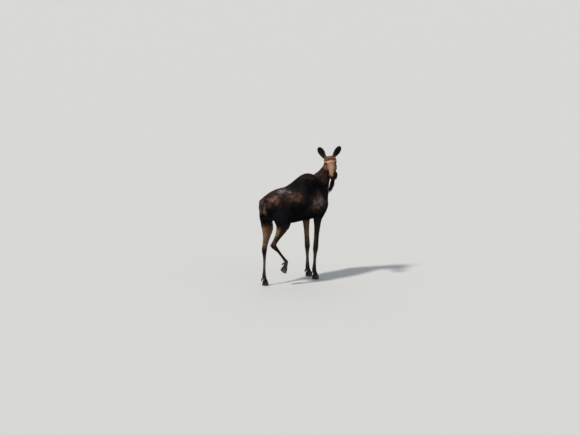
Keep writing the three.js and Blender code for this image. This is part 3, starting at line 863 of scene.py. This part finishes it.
class Coat:
    """The coat's direction, length, width, density, lift and colour at each of the skin's points."""

    def __init__(self, skin):
        self.skin = skin
        lie = skin.blended(lambda region: unit(lie_of(region, skin.points, skin.normals)))
        self.lie = self.laid(skin.net.spread(self.laid(lie), LIE_BLEND))
        self.length, self.width, self.density, self.lift = (skin.regions @ per_region(HAIR)).T
        self.colour = coat_colours(skin)
        self.vary()

    def laid(self, directions):
        """Directions turned along the skin."""
        normals = self.skin.normals
        return unit(directions - (directions * normals).sum(axis=1, keepdims=True) * normals)

    def vary(self):
        """Longer hair on the crest, belly, throat and thighs; shorter hair on the face and feet."""
        points, normals = self.skin.points, self.skin.normals
        p = mirrored(points)
        q = to_head(points)
        trunk = self.skin.weight("trunk")
        neck = self.skin.weight("neck")
        legs = self.skin.weight(*LEG_NAMES)
        head = self.skin.weight("head")
        crest = trunk * blob(p, (1.2, 0, 1.86), (0.38, 0.12, 0.2)) * step(0.2, 0.7, normals[:, 2])
        mane = neck * step(0.2, 0.8, normals @ unit(np.array([0.5, 0.8, 0.3])))
        throat = neck * step(0.2, 0.8, normals @ unit(np.array([-0.4, -0.7, -0.4])))
        belly = trunk * step(0.3, 0.9, -normals[:, 2])
        thigh = blob(p, (0.1, 0.16, 1.14), (0.16, 0.2, 0.3)) * step(0, 0.7, -normals[:, 0])
        shaggy = blob(p, (1.21, 0.25, 1.31), (0.16, 0.16, 0.14))
        self.length += 24 * crest + 20 * mane + 16 * throat + 12 * belly + 14 * thigh + 10 * shaggy
        self.lift += 0.1 * crest + 0.1 * mane + 0.1 * throat + 0.08 * thigh + 0.14 * shaggy
        foot = 1 - step(0.05, 0.75, points[:, 2])
        self.length -= legs * 9 * foot
        self.width -= legs * 1.2 * foot
        nose = step(200, 480, q[:, 0]) * head
        self.length -= 7.5 * nose
        self.width -= 1.3 * nose
        self.lift -= 0.08 * nose
        self.length += 12 * head * step(150, 215, -q[:, 2]) * (1 - step(420, 520, q[:, 0]))
        self.density *= 1 - self.bare()

    def bare(self):
        """1 where the skin has no hair: inside the nostrils, between the lips and lids, and on the nose."""
        q = to_head(self.skin.points)
        found = np.zeros(len(q))
        for name, side in SIDES.items():
            offsets = q - eye_centre(name)
            near = (np.linalg.norm(offsets, axis=1) < 32) & (offsets @ GAZE[name] > 0)
            across, up = eye_angles(offsets, name)
            found = np.maximum(found, near * (1 - step(4, 10, lid_opening(across, up))))
            by_nostril = np.linalg.norm(q - NOSTRIL * (1, side, 1), axis=1) < NOSTRIL_REACH
            inner = by_nostril & (q[:, 1] * side > 10)
            found = np.maximum(found, inner * step(-0.35, -0.1, nostril(q, side)))
        x, y, z = q.T
        lips = bump(z - mouth_height(q), 0, 6) * step(380, 420, x) * (x < NOSE_END) * (np.abs(y) < 90)
        pad = step(596, 612, x) * bump(y, 0, 26) * step(92, 108, -z) * (x < NOSE_END)
        return np.clip(np.maximum(found, np.maximum(lips, pad)), 0, 1)


# ---- Tufts: tapered solid blades of three sides, flat side to the skin

FLATNESS = 0.34  # how high a tuft is beside how wide
SUNK = 0.0012  # how deep a root starts inside the skin


def tuft_faces(rings):
    """The triangles of one tuft of so many rings of three points and a tip."""
    faces = [(0, 2, 1)]
    for ring in range(rings - 1):
        for j in range(3):
            a, b = ring * 3 + j, ring * 3 + (j + 1) % 3
            faces += [(a, b, b + 3), (a, b + 3, a + 3)]
    last = (rings - 1) * 3
    faces += [(last + j, last + (j + 1) % 3, last + 3) for j in range(3)]
    return np.array(faces)


def tuft_points(roots, normals, lies, size, rings):
    """Each tuft's points. Size holds its length, width, lift, droop and sideways bend."""
    length, width, lift, droop, bend = (values[:, None] for values in size)
    across = unit(np.cross(normals, lies))
    made = np.empty((len(roots), rings * 3 + 1, 3))

    def centre(t):
        rise = lift * t - droop * t * t
        return roots - SUNK * normals + length * (t * lies + rise * normals + bend * t * t * across)

    for ring in range(rings):
        t = ring / rings
        half = width / 2 * (0.72 + 0.9 * t - 1.25 * t * t)
        for j, (side, out) in enumerate(((-1, 0), (1, 0), (0, 1))):
            made[:, ring * 3 + j] = centre(t) + half * (side * across + 2 * FLATNESS * out * normals)
    made[:, -1] = centre(1)
    return made


class Roots:
    """Random places on some of the skin's triangles, where tufts start."""

    def __init__(self, skin, density, chosen, seed):
        self.skin = skin
        self.random = np.random.default_rng(seed)
        a, b, c = (skin.points[skin.triangles[:, k]] for k in range(3))
        area = np.linalg.norm(np.cross(b - a, c - a), axis=1) / 2
        wanted = area * density[skin.triangles].mean(axis=1) * chosen[skin.triangles[:, 0]]
        total = np.cumsum(wanted)
        count = int(total[-1])
        marks = np.arange(count) + self.random.uniform(0, 1, count)
        self.faces = np.minimum(np.searchsorted(total, marks), len(total) - 1)
        first, second = self.random.uniform(0, 1, (2, count))
        fold = first + second > 1
        first[fold], second[fold] = 1 - first[fold], 1 - second[fold]
        self.shares = np.column_stack([1 - first - second, first, second])
        self.count = count

    def at(self, values):
        """A field of the skin at each root."""
        corners = values[self.skin.triangles[self.faces]]
        shares = self.shares if values.ndim == 1 else self.shares[:, :, None]
        return (corners * shares).sum(axis=1)

    def spread(self, low, high):
        """A random number for each root."""
        return self.random.uniform(low, high, self.count)


# ---- Coat pieces, with a map that unrolls the skin round each region's line

PATCH = 0.003
# How bright a tuft is at its root, and how much brighter at its tip, beside its own colour.
ROOT_SHADE, TIP_SHADE = 0.78, 0.42
# Each piece's regions, and the part of its map that each gets: lowest u, highest u.
PIECES = {
    "coat_head": {"head": (0, 0.7), "ear_left": (0.7, 0.85), "ear_right": (0.85, 1)},
    "coat_neck": {"neck": (0, 0.8), "bell": (0.8, 1)},
    "coat_tail": {"tail": (0, 1)},
    "coat_legs_left": {"leg_hind_left": (0, 0.5), "leg_front_left": (0.5, 1)},
    "coat_legs_right": {"leg_hind_right": (0, 0.5), "leg_front_right": (0.5, 1)},
}
TRUNK_SPLIT = 0.8  # where the trunk's front and rear pieces meet


def unrolled(region, points):
    """Each point's angle round its region's line, and how far along it lies, both 0 to 1."""
    place, direction, foot = along_line(points, line_of(region))
    reference = {"head": HEAD_AXES[2], "trunk": (0, 0, 1), "neck": (0, 1, 0)}.get(region, (1, 0, 0))
    if region in EARS:
        reference = HEAD_AXES[1]
    front = unit(reference - direction * (direction @ np.array(reference))[:, None])
    offset = points - foot
    angle = np.arctan2((offset * np.cross(direction, front)).sum(axis=1), (offset * front).sum(axis=1))
    return angle / (2 * math.pi) + 0.5, place


def tuft_map(roots_uv, rings):
    """Each tuft's points on the map: a small patch at its root's place."""
    steps = np.repeat(np.arange(rings) / rings, 3)
    across = np.tile([-0.5, 0.5, 0.0], rings)
    patch = np.column_stack([np.append(across, 0), np.append(steps, 1) - 0.5]) * PATCH
    return roots_uv[:, None, :] + patch[None]


class Growth:
    """Tufts gathered for one piece."""

    def __init__(self):
        self.parts = []
        self.count = 0

    def add(self, points, rings, uv, tint, strand):
        """Adds tufts of equal build: their points, root maps, colours and strand numbers."""
        tufts, size = points.shape[:2]
        starts = self.count + np.arange(tufts) * size
        along = np.append(np.repeat(np.arange(rings) / rings, 3), 1)
        across = np.append(np.tile([-1.0, 1.0, 0.0], rings), 0)
        self.parts.append((
            points.reshape(-1, 3),
            (starts[:, None, None] + tuft_faces(rings)).reshape(-1, 3),
            tuft_map(uv, rings).reshape(-1, 2),
            (tint[:, None, :] * (ROOT_SHADE + TIP_SHADE * along)[:, None]).reshape(-1, 3),
            (strand[:, None] + across).ravel(),
        ))
        self.count += tufts * size

    def build(self, name, nodes):
        """Makes the piece."""
        points, faces, places, tints, strands = (np.concatenate(column) for column in zip(*self.parts))
        mesh = new_mesh(name, points, faces)
        layer = mesh.uv_layers.new(name="OFBake")
        layer.data.foreach_set("uv", places[faces.ravel()].astype(np.float32).ravel())
        store_colour(mesh, "tint", tints)
        store(mesh, "strand", strands)
        placed(name, mesh, COAT_MATERIAL, nodes)


def store(mesh, name, values):
    """Keeps a number or a vector for each of a mesh's points."""
    sort, key = ("FLOAT", "value") if values.ndim == 1 else ("FLOAT_VECTOR", "vector")
    mesh.attributes.new(name, sort, "POINT").data.foreach_set(key, values.astype(np.float32).ravel())


def placed(name, mesh, material, nodes):
    """Makes a finished piece, which rides on the root and stands for CAD nodes."""
    made = new_object(name, mesh)
    made.data.materials.append(material)
    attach(made, "root")
    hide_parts(*nodes)


def store_colour(mesh, name, colours):
    """Keeps a colour for each of a mesh's points."""
    rgba = np.column_stack([colours, np.ones(len(colours))]).astype(np.float32)
    mesh.color_attributes.new(name, "FLOAT_COLOR", "POINT").data.foreach_set("color", rgba.ravel())


# ---- Materials


class Shade:
    """A material's nodes, added one at a time."""

    def __init__(self, name):
        self.material = bpy.data.materials.new(name)
        self.material.use_nodes = True
        self.tree = self.material.node_tree
        self.shader = self.tree.nodes["Principled BSDF"]

    def node(self, kind_name, inputs=None, **settings):
        """A node with its settings, and its inputs set to numbers or joined to outputs."""
        made = self.tree.nodes.new(f"ShaderNode{kind_name}")
        for key, value in settings.items():
            setattr(made, key, value)
        for key, value in (inputs or {}).items():
            self.put(made.inputs[key], value)
        return made

    def put(self, socket, value):
        """Sets an input, or joins it to an output."""
        if isinstance(value, bpy.types.NodeSocket):
            self.tree.links.new(value, socket)
        else:
            socket.default_value = value

    def attribute(self, name, output="Fac"):
        """The output of a named attribute."""
        return self.node("Attribute", attribute_name=name).outputs[output]

    def noise(self, scale, detail=2, **inputs):
        """Noise over the model's own coordinates, or over those given as Vector."""
        inputs.setdefault("Vector", self.node("TexCoord").outputs["Object"])
        return self.node("TexNoise", {"Scale": scale, "Detail": detail, **inputs}).outputs["Fac"]

    def between(self, value, low, high, start=0.3, end=0.7):
        """A value that runs from start to end, as most noise does from 0.3 to 0.7, moved to another range."""
        inputs = {"Value": value, "From Min": start, "From Max": end, "To Min": low, "To Max": high}
        return self.node("MapRange", inputs).outputs["Result"]

    def bands(self, place, scale, detail):
        """Noise along one line only."""
        inputs = {"W": place, "Scale": scale, "Detail": detail}
        return self.node("TexNoise", inputs, noise_dimensions="1D").outputs["Fac"]

    def stretched(self, vector, factors):
        """Coordinates times a factor on each axis."""
        return self.node("Mapping", {"Vector": vector, "Scale": factors}).outputs[0]

    def reach(self, x, y):
        """How far a place on a plane lies from its middle."""
        flat = self.node("CombineXYZ", {"X": x, "Y": y}).outputs[0]
        return self.node("VectorMath", {0: flat}, operation="LENGTH").outputs["Value"]

    def times(self, first, second):
        """The product of two numbers."""
        return self.node("Math", {0: first, 1: second}, operation="MULTIPLY").outputs[0]

    def scaled(self, colour, factor):
        """A colour times a number."""
        return self.node("VectorMath", {0: colour, "Scale": factor}, operation="SCALE").outputs[0]

    def mixed(self, factor, first, second):
        """A mix of two colours."""
        inputs = {"Factor": factor, 6: first, 7: second}
        return self.node("Mix", inputs, data_type="RGBA").outputs[2]

    def bump(self, height, distance, strength=1.0, normal=None):
        """A normal bent by a height."""
        inputs = {"Height": height, "Distance": distance, "Strength": strength}
        if normal:
            inputs["Normal"] = normal
        return self.node("Bump", inputs).outputs["Normal"]

    def finish(self, **inputs):
        """Sets the shader's inputs, whose names have underscores here, and returns the material."""
        for key, value in inputs.items():
            self.put(self.shader.inputs[key.replace("_", " ")], value)
        return self.material


# How hair takes light, on the tufts and on the skin under them.
HAIR_FINISH = {"Sheen_Weight": 0.004, "Sheen_Roughness": 0.4, "Specular_IOR_Level": 0.03}


def hair_colour(shade, strands):
    """The markings and painted light and shade, in lighter and darker patches and strands."""
    patches = shade.between(shade.noise(11, 3), 0.78, 1.2)
    return shade.scaled(shade.attribute("tint", "Color"), shade.times(patches, strands))


def coat_material():
    """Hair in tufts: the markings and painted light and shade, with lighter and darker strands."""
    shade = Shade("coat_tufts")
    strand = shade.bands(shade.attribute("strand"), 2.6, 1)
    return shade.finish(
        Base_Color=hair_colour(shade, shade.between(strand, 0.7, 1.3)),
        Roughness=shade.between(strand, 0.5, 0.72),
        Normal=shade.bump(strand, 0.0006),
        **HAIR_FINISH,
    )


def skin_material():
    """Short flat hair as streaks of colour and bump, and bare pebbled skin on nostrils, lips and lids."""
    shade = Shade("skin")
    bare = shade.attribute("bare")
    hair = shade.noise(420, 3, Vector=shade.stretched(shade.attribute("lie", "Vector"), (0.11, 1, 1)))
    colour = hair_colour(shade, shade.between(hair, 0.68, 1.3))
    place = shade.node("TexCoord").outputs["Object"]
    pebbles = shade.node("TexVoronoi", {"Vector": place, "Scale": 330}, feature="SMOOTH_F1")
    rough = shade.node("Mix", {"Factor": bare, 2: shade.between(hair, 0.5, 0.75), 3: 0.38}).outputs[0]
    coat_bump = shade.bump(hair, 0.0014, 0.8)
    return shade.finish(
        Base_Color=shade.mixed(bare, colour, (0.016, 0.013, 0.012, 1)),
        Roughness=rough,
        Normal=shade.bump(pebbles.outputs["Distance"], 0.0006, 0.6, coat_bump),
        **HAIR_FINISH,
    )


def eye_material():
    """A wet dark-brown eye with a wide pupil and a thin pale rim."""
    shade = Shade("eye")
    gaze = shade.attribute("gaze", "Vector")
    parts = shade.node("SeparateXYZ", {"Vector": gaze}).outputs
    pupil = shade.between(shade.reach(shade.times(parts["X"], 0.62), parts["Y"]), 0, 1, 0.22, 0.28)
    white = shade.between(shade.reach(parts["X"], parts["Y"]), 0, 1, 0.74, 0.84)
    fibres = shade.between(shade.noise(9, 4, Vector=gaze), 0.5, 1.5)
    iris = shade.scaled((0.055, 0.024, 0.010), fibres)
    colour = shade.mixed(pupil, (0.003, 0.003, 0.005, 1), iris)
    return shade.finish(
        Base_Color=shade.mixed(white, colour, (0.06, 0.04, 0.035, 1)),
        Roughness=shade.between(shade.noise(60), 0.06, 0.1),
        IOR=1.38,
        Specular_IOR_Level=0.08,
    )


def hoof_material():
    """Dark horn with growth rings, fine upright lines and pale scuffs near the ground."""
    shade = Shade("hoof")
    wall = shade.attribute("wall", "Vector")
    height = shade.node("SeparateXYZ", {"Vector": wall}).outputs["Z"]
    rings = shade.bands(height, 190, 2)
    lines = shade.noise(700, 2, Vector=shade.stretched(wall, (1, 1, 0.05)))
    worn = shade.between(height, 0, 1, 0.03, 0.0)
    scuffs = shade.times(worn, shade.between(shade.noise(160, 4, Vector=wall), 0.0, 1.0))
    tone = shade.times(shade.between(rings, 0.7, 1.35), shade.between(lines, 0.75, 1.25))
    relief = shade.node("Math", {0: rings, 1: shade.times(lines, 0.4)}, operation="ADD").outputs[0]
    return shade.finish(
        Base_Color=shade.mixed(scuffs, shade.scaled((0.011, 0.009, 0.008), tone), (0.07, 0.058, 0.048, 1)),
        Roughness=shade.between(lines, 0.38, 0.6),
        Normal=shade.bump(relief, 0.0008, 0.8),
    )


def floor_material():
    """A plain pale matt floor."""
    return Shade("floor").finish(Base_Color=(0.5, 0.5, 0.49, 1), Roughness=0.9)


# ---- Making the pieces


def make_skin(skin, coat):
    """The skin's piece, with what its material reads."""
    store_colour(skin.mesh, "tint", coat.colour)
    store(skin.mesh, "bare", coat.bare())
    store(skin.mesh, "lie", lie_coordinates(skin))
    placed("skin", skin.mesh, skin_material(), REGIONS)


def lie_coordinates(skin):
    """Coordinates whose first runs along the hair: forward on the head and trunk, and upright elsewhere."""
    own = {"head": to_head(skin.points) / 1000, "trunk": skin.points}
    upright = skin.points[:, [2, 0, 1]]
    total = np.zeros_like(skin.points)
    leading = skin.regions.argmax(axis=1)
    for number, region in enumerate(REGIONS):
        mine = leading == number
        total[mine] = own.get(region, upright)[mine]
    return total


def sizes(coat, roots):
    """Each tuft's length, width, lift, droop and bend, in metres and slopes."""
    return (
        roots.at(coat.length) * roots.spread(0.7, 1.25) / 1000,
        roots.at(coat.width) * roots.spread(0.75, 1.2) / 1000,
        roots.at(coat.lift) * roots.spread(0.5, 1.5),
        roots.at(coat.lift) * roots.spread(0.5, 0.9),
        roots.spread(-0.12, 0.12),
    )


def turned(lies, normals, angles):
    """Directions turned round the normals."""
    across = np.cross(normals, lies)
    return lies * np.cos(angles)[:, None] + across * np.sin(angles)[:, None]


def fitted(values):
    """Values moved to fill 0 to 1, with a little room at both ends."""
    return 0.02 + 0.96 * (values - values.min()) / max(np.ptp(values), 1e-6)


def grow_region(growth, coat, region, chosen, cell, seed):
    """Adds one region's tufts to a piece. Cell is the part of the map's width that they get."""
    skin = coat.skin
    rings = RINGS[kind(region)]
    roots = Roots(skin, coat.density, chosen, seed)
    if roots.count == 0:
        return
    normals = unit(roots.at(skin.normals))
    at = roots.at(skin.points)
    sway = 0.22 * waves(at, 0.12, seed + 50) + roots.spread(-0.16, 0.16)
    lies = turned(unit(roots.at(coat.lie)), normals, sway)
    points = tuft_points(at, normals, lies, sizes(coat, roots), rings)
    tint = roots.at(coat.colour) * roots.spread(0.72, 1.3)[:, None]
    u, v = unrolled(region, at)
    uv = np.column_stack([cell[0] + (cell[1] - cell[0]) * fitted(u), fitted(v)])
    growth.add(points, rings, uv, tint, roots.spread(0, 1000))


def make_coat(coat):
    """All coat pieces."""
    leading = coat.skin.regions.argmax(axis=1)
    for seed, (name, cells) in enumerate(PIECES.items()):
        growth = Growth()
        for number, (region, cell) in enumerate(cells.items()):
            chosen = leading == REGIONS.index(region)
            grow_region(growth, coat, region, chosen, cell, 100 + 10 * seed + number)
        growth.build(name, cells)
    x, y = coat.skin.points[:, 0], coat.skin.points[:, 1]
    for seed, (place, ahead) in enumerate((("front", x >= TRUNK_SPLIT), ("rear", x < TRUNK_SPLIT))):
        for side, own in (("left", y >= 0), ("right", y < 0)):
            growth = Growth()
            chosen = (leading == REGIONS.index("trunk")) & ahead & own
            grow_region(growth, coat, "trunk", chosen, (0, 1), 200 + 10 * seed + (side == "left"))
            growth.build(f"coat_trunk_{place}_{side}", ["trunk"])


def make_eye(name):
    """An eyeball with a bulging cornea, looking out of the side of the head."""
    centre = eye_centre(name)
    forward, up, gaze = eye_axes(name)
    rows, columns = 40, 48
    turns = np.linspace(0, 2 * math.pi, columns, endpoint=False)
    angle, turn = np.meshgrid(np.linspace(0, math.pi, rows), turns, indexing="ij")
    radius = EYE_RADIUS - 0.9 + 1.6 * bump(angle, 0, 0.75)
    local = np.stack([
        radius * np.sin(angle) * np.cos(turn),
        radius * np.sin(angle) * np.sin(turn),
        radius * np.cos(angle),
    ], axis=-1).reshape(-1, 3)
    number = np.arange(rows * columns).reshape(rows, columns)
    following = np.roll(number, -1, axis=1)
    faces = np.stack([number[:-1], number[1:], following[1:], following[:-1]], axis=-1).reshape(-1, 4)
    points = centre + local[:, :1] * forward + local[:, 1:2] * up + local[:, 2:] * gaze
    if np.dot(np.cross(forward, up), gaze) < 0:
        faces = faces[:, ::-1]
    mesh = new_mesh(f"eyeball_{name}", from_head(points), faces)
    store(mesh, "gaze", local / EYE_RADIUS)
    placed(mesh.name, mesh, EYE_MATERIAL, [f"eye_{name}"])


HOOF_VOXEL = 0.0025
FOOT_TIPS = {"hind_right": 40}  # how far the lifted foot's toes point down, in degrees
RING_SPACING, RING_HEIGHT = 0.0085, 0.0003
SOLE_FLAT = 0.0032  # how high above the ground a claw's points are drawn down to it


def foot_frame(leg):
    """The middle of a foot's claws, the way up from their soles, and how high along it the soles lie."""
    points = np.vstack([welded(f"hoof_{leg}_{where}")[0] for where in ("outer", "inner")])
    tip = math.radians(FOOT_TIPS.get(leg, 0))
    up = np.array([math.sin(tip), 0, math.cos(tip)])
    return points.mean(axis=0), up, (points @ up).min()


def make_foot(leg):
    """One foot's claws and dewclaws, rounded and ringed, with flat soles."""
    middle, up, ground = foot_frame(leg)
    nodes = [f"{part}_{leg}_{where}" for part in ("hoof", "dewclaw") for where in ("outer", "inner")]
    claws, walls = [], []
    for node in nodes:
        mesh = remeshed(*welded(node), HOOF_VOXEL)
        co = Net(mesh).spread(points_of(mesh), 10, 0.4)
        tri = triangles_of(mesh)
        normals = normals_at(co, tri)
        height = co @ up - ground
        ring = np.sin(2 * math.pi * (height + 0.0012 * waves(co, 0.03, 8)) / RING_SPACING)
        co = co + (RING_HEIGHT * ring * (1 - np.abs(normals @ up)))[:, None] * normals
        if node.startswith("hoof"):
            low = co @ up - ground
            flat = low < SOLE_FLAT
            co[flat] -= low[flat][:, None] * up
        claws.append((co, tri))
        walls.append(co - middle + up * (middle @ up - ground))
        bpy.data.meshes.remove(mesh)
    mesh = new_mesh(f"hooves_{leg}", *joined(claws))
    wall = np.vstack(walls)
    store(mesh, "wall", np.column_stack([wall @ np.cross((0, 1, 0), up), wall[:, 1], wall @ up]))
    placed(mesh.name, mesh, HOOF_MATERIAL, nodes)


COAT_MATERIAL = coat_material()
EYE_MATERIAL = eye_material()
HOOF_MATERIAL = hoof_material()

skin = Skin(Flesh())
coat = Coat(skin)
make_skin(skin, coat)
make_coat(coat)
for side_name in SIDES:
    make_eye(side_name)
for leg_name in LEG_NAMES:
    make_foot(leg_name[4:])

# ---- Light and camera

SUN_DISTANCE = 20
FLOOR_REACH = 300.0
SKY = (0.82, 0.9, 1, 1)
SKY_STRENGTH = 0.42


def heading(azimuth, elevation):
    """The direction at an azimuth round the animal (0 is its right side) and an elevation, in degrees."""
    a, e = math.radians(azimuth), math.radians(elevation)
    return np.array([math.sin(a) * math.cos(e), -math.cos(a) * math.cos(e), math.sin(e)])


def sun(name, azimuth, elevation, strength, angle, colour=(1, 1, 1)):
    """A far light from that direction, whose angle in degrees softens its shadows."""
    data = bpy.data.lights.new(name, "SUN")
    data.energy = strength
    data.angle = math.radians(angle)
    data.color = colour
    away = Vector(heading(azimuth, elevation))
    light = new_object(name, data)
    light.location = away * SUN_DISTANCE
    light.rotation_mode = "QUATERNION"
    light.rotation_quaternion = away.to_track_quat("Z", "Y")


def studio():
    """A pale floor, a pale world, and sunlight from the camera's left."""
    corners = np.array([(-1, -1, 0), (1, -1, 0), (1, 1, 0), (-1, 1, 0)]) * FLOOR_REACH - ORIGIN
    floor = new_object("floor", new_mesh("floor", corners, np.array([[0, 1, 2, 3]])))
    floor.data.materials.append(floor_material())
    world = bpy.data.worlds.new("studio")
    world.use_nodes = True
    sky = world.node_tree.nodes["Background"].inputs
    sky["Color"].default_value = SKY
    sky["Strength"].default_value = SKY_STRENGTH
    bpy.context.scene.world = world
    bpy.context.scene.view_settings.view_transform = "Standard"
    sun("key", -98, 50, 3.4, 6, (1, 0.95, 0.88))
    sun("fill", -20, 30, 0.35, 60)
    sun("back", 130, 35, 0.6, 60)


CAMERA_DISTANCE = 60
CAMERA_AZIMUTH, CAMERA_ELEVATION = -50, 9
PIXELS_PER_METRE = 58.5
PICTURE_WIDTH, PICTURE_HEIGHT = 580, 435
# A point of the animal's frame, and the pixel where it shows.
ANCHOR = np.array([0.20, 0.12, 0.0])
ANCHOR_PIXEL = (264.3, 285.5)


def camera():
    """A far camera that doesn't roll, with the animal where the picture has it."""
    back = heading(CAMERA_AZIMUTH, CAMERA_ELEVATION)
    right = heading(CAMERA_AZIMUTH + 90, 0)
    up = np.cross(back, right)
    across = (PICTURE_WIDTH / 2 - ANCHOR_PIXEL[0]) / PIXELS_PER_METRE
    above = (ANCHOR_PIXEL[1] - PICTURE_HEIGHT / 2) / PIXELS_PER_METRE
    aim = ANCHOR + ORIGIN + across * right + above * up
    data = bpy.data.cameras.new("camera")
    data.sensor_width = 36
    data.lens = data.sensor_width * PIXELS_PER_METRE * CAMERA_DISTANCE / PICTURE_WIDTH
    data.clip_end = 1000
    made = new_object("camera", data)
    made.location = aim + CAMERA_DISTANCE * back
    made.rotation_mode = "QUATERNION"
    made.rotation_quaternion = Vector(-back).to_track_quat("-Z", "Y")
    bpy.context.scene.camera = made


studio()
camera()
